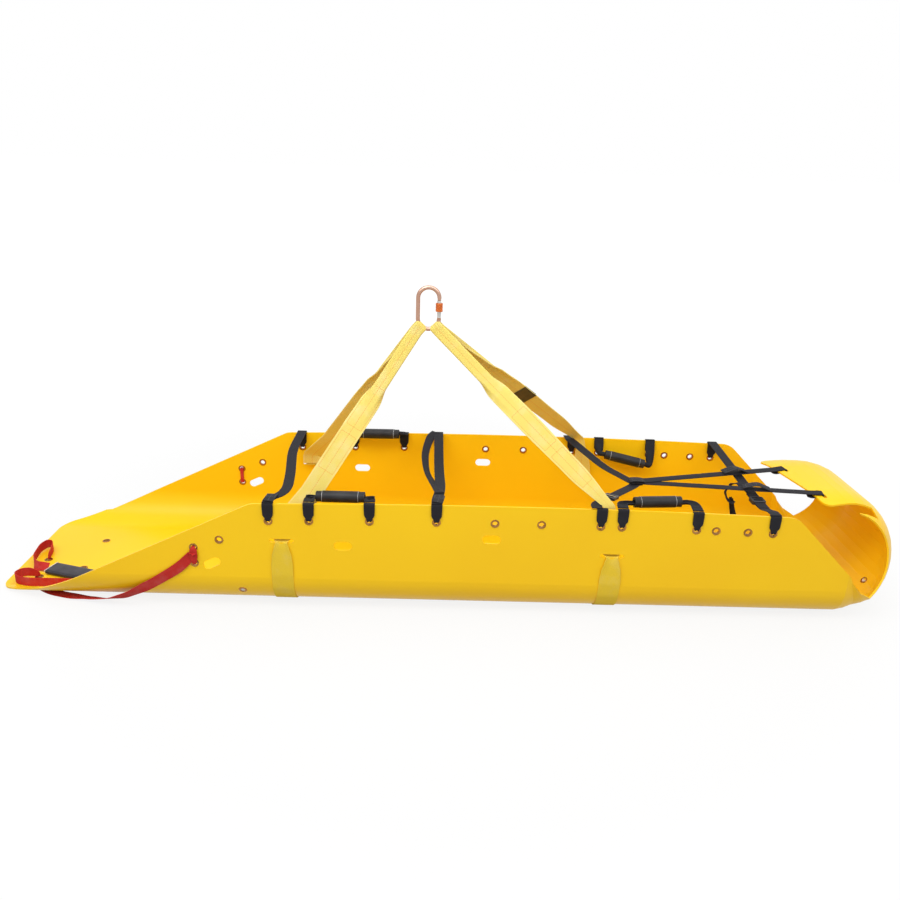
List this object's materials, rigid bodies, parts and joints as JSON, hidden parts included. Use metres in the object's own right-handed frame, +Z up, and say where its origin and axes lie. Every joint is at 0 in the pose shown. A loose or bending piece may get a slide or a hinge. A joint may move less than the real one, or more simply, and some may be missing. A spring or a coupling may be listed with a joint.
{
  "type": "rescue stretcher",
  "caption": "Roll-up plastic drag and lift stretcher bent into a trough, with grab handles, casualty straps, tow strap and lifting slings on a carabiner.",
  "frame": {"origin": "centre of the bounding box at its bottom face, where the stretcher stands", "axes": "+X along the stretcher toward the curled foot flap, +Y across it, +Z up"},
  "size_m": [2.1565, 0.4985, 0.733],
  "materials": {
    "shell_plastic": "smooth orange-yellow polyethylene sheet",
    "eyelet_brass": "plain polished",
    "grip_rubber": "matt black",
    "strap_webbing": "woven black webbing",
    "tow_webbing": "woven red webbing",
    "sling_webbing": "woven yellow webbing",
    "carabiner_steel": "warm plated steel",
    "gate_steel": "plain steel",
    "sleeve_metal": "orange anodised",
    "buckle_plastic": "moulded black",
    "tow_grip_fabric": "black coated fabric"
  },
  "bodies": {
    "stretcher": {"far_eyelets": "eyelet_brass", "far_foot_handle_loops": "strap_webbing", "far_head_handle_loops": "strap_webbing", "foot_sling_belly": "sling_webbing", "foot_sling_legs": "sling_webbing", "harness_far_flap_web": "strap_webbing", "harness_far_leg": "strap_webbing", "harness_loops": "strap_webbing", "harness_near_flap_web": "strap_webbing", "harness_near_leg": "strap_webbing", "harness_patch": "strap_webbing", "head_sling_belly": "sling_webbing", "head_sling_legs": "sling_webbing", "leg_loops": "strap_webbing", "leg_strap_far_web": "strap_webbing", "leg_strap_near_web": "strap_webbing", "middle_loops": "strap_webbing", "middle_strap": "strap_webbing", "near_eyelets": "eyelet_brass", "near_foot_handle_loops": "strap_webbing", "near_head_handle_loops": "strap_webbing", "shell": "shell_plastic", "shoulder_loops": "strap_webbing", "shoulder_strap": "strap_webbing", "tip_eyelets": "eyelet_brass", "tow_strap_far_anchor": "tow_webbing", "tow_strap_far_coil": "tow_webbing", "tow_strap_near_coil": "tow_webbing", "tow_strap_run": "tow_webbing"},
    "near_head_handle": {"near_head_handle_strap": "strap_webbing", "near_head_handle_grip": "grip_rubber"},
    "near_foot_handle": {"near_foot_handle_strap": "strap_webbing", "near_foot_handle_grip": "grip_rubber"},
    "far_head_handle": {"far_head_handle_strap": "strap_webbing", "far_head_handle_grip": "grip_rubber"},
    "far_foot_handle": {"far_foot_handle_strap": "strap_webbing", "far_foot_handle_grip": "grip_rubber"},
    "carabiner": {"carabiner_frame": "carabiner_steel", "gate_pin": "gate_steel"},
    "gate": {"carabiner_gate": "gate_steel"},
    "sleeve": {"gate_sleeve": "sleeve_metal"},
    "tow_handle": {"tow_grip": "tow_grip_fabric"},
    "leg_buckle": {"leg_strap_buckle": "buckle_plastic"},
    "harness_slider": {"harness_lock": "buckle_plastic"}
  },
  "joints": [
    {"name": "near_head_handle_swing", "type": "hinge", "parent": "stretcher", "child": "near_head_handle", "pos_m": [-0.2495, -0.23675, 0.28113], "axis": [0.9998, 0, 0.0196], "range_deg": [-52, 140]},
    {"name": "near_foot_handle_swing", "type": "hinge", "parent": "stretcher", "child": "near_foot_handle", "pos_m": [0.4785, -0.23675, 0.28296], "axis": [0.9999, 0, -0.0144], "range_deg": [-58, 134]},
    {"name": "far_head_handle_swing", "type": "hinge", "parent": "stretcher", "child": "far_head_handle", "pos_m": [-0.1935, 0.23675, 0.28215], "axis": [-0.9999, 0, -0.017], "range_deg": [-64, 128]},
    {"name": "far_foot_handle_swing", "type": "hinge", "parent": "stretcher", "child": "far_foot_handle", "pos_m": [0.492, 0.23675, 0.28281], "axis": [-0.9999, 0, 0.015], "range_deg": [-6, 204]},
    {"name": "carabiner_rock", "type": "hinge", "parent": "stretcher", "child": "carabiner", "pos_m": [-0.061, 0, 0.655], "axis": [0, 1, 0], "range_deg": [-10, 10]},
    {"name": "gate_open", "type": "hinge", "parent": "carabiner", "child": "gate", "pos_m": [-0.036, 0, 0.662], "axis": [0, -1, 0], "range_deg": [0, 25], "stiffness_Nm_per_rad": 0.02},
    {"name": "sleeve_lock", "type": "slide", "parent": "gate", "child": "sleeve", "axis": [0, 0, 1], "range_m": [0, 0.009]},
    {"name": "tow_handle_lift", "type": "hinge", "parent": "stretcher", "child": "tow_handle", "pos_m": [-0.9957, -0.09132, 0.013], "axis": [-0.2924, -0.9563, 0], "range_deg": [0, 75]},
    {"name": "leg_buckle_slide", "type": "slide", "parent": "stretcher", "child": "leg_buckle", "axis": [0, 1, 0], "range_m": [-0.02, 0.02]},
    {"name": "harness_lock_slide", "type": "slide", "parent": "stretcher", "child": "harness_slider", "axis": [0.5765, 0.8079, -0.122], "range_m": [-0.02, 0.02]}
  ]
}
